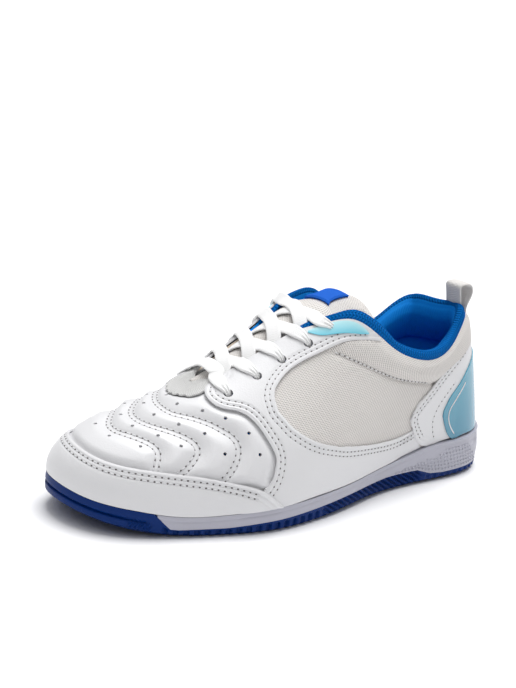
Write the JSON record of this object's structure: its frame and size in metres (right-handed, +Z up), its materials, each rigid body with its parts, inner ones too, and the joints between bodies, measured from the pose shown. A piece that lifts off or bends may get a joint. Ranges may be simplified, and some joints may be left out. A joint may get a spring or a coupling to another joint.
{
  "type": "indoor soccer shoe",
  "caption": "Low indoor soccer shoe for the left foot: layered leather and mesh upper, padded collar, tongue, flat laces, pull loop, foam midsole and rubber sole.",
  "frame": {"origin": "centre of the shoe's bounding box seen from above, on the floor the sole stands on", "axes": "+X to the toe, +Y to the outer (lateral) side, +Z up"},
  "size_m": [0.267, 0.0998, 0.1055],
  "materials": {
    "white_leather": "smooth satin synthetic leather",
    "beige_mesh": "fine open mesh over cloth",
    "blue_rubber": "satin moulded rubber",
    "white_foam": "satin moulded foam",
    "blue_lining": "matt knitted cloth",
    "cyan_film": "thin satin film",
    "white_lace": "flat woven cotton",
    "beige_webbing": "woven webbing"
  },
  "bodies": {
    "root": {"outsole": "blue_rubber", "midsole": "white_foam", "insole": "blue_lining", "upper": "beige_mesh", "mudguard": "white_leather", "saddle_lateral": "white_leather", "saddle_medial": "white_leather", "heel_counter": "white_leather", "heel_panel": "cyan_film", "eyelet_insert_lateral": "cyan_film", "eyelet_insert_medial": "cyan_film", "collar_lining": "blue_lining", "tongue": "beige_mesh", "tongue_label": "blue_lining", "lace_bar": "white_lace", "lace_cross_1": "white_lace", "lace_cross_2": "white_lace", "lace_cross_3": "white_lace", "lace_cross_4": "white_lace", "pull_loop": "beige_webbing"}
  },
  "joints": []
}
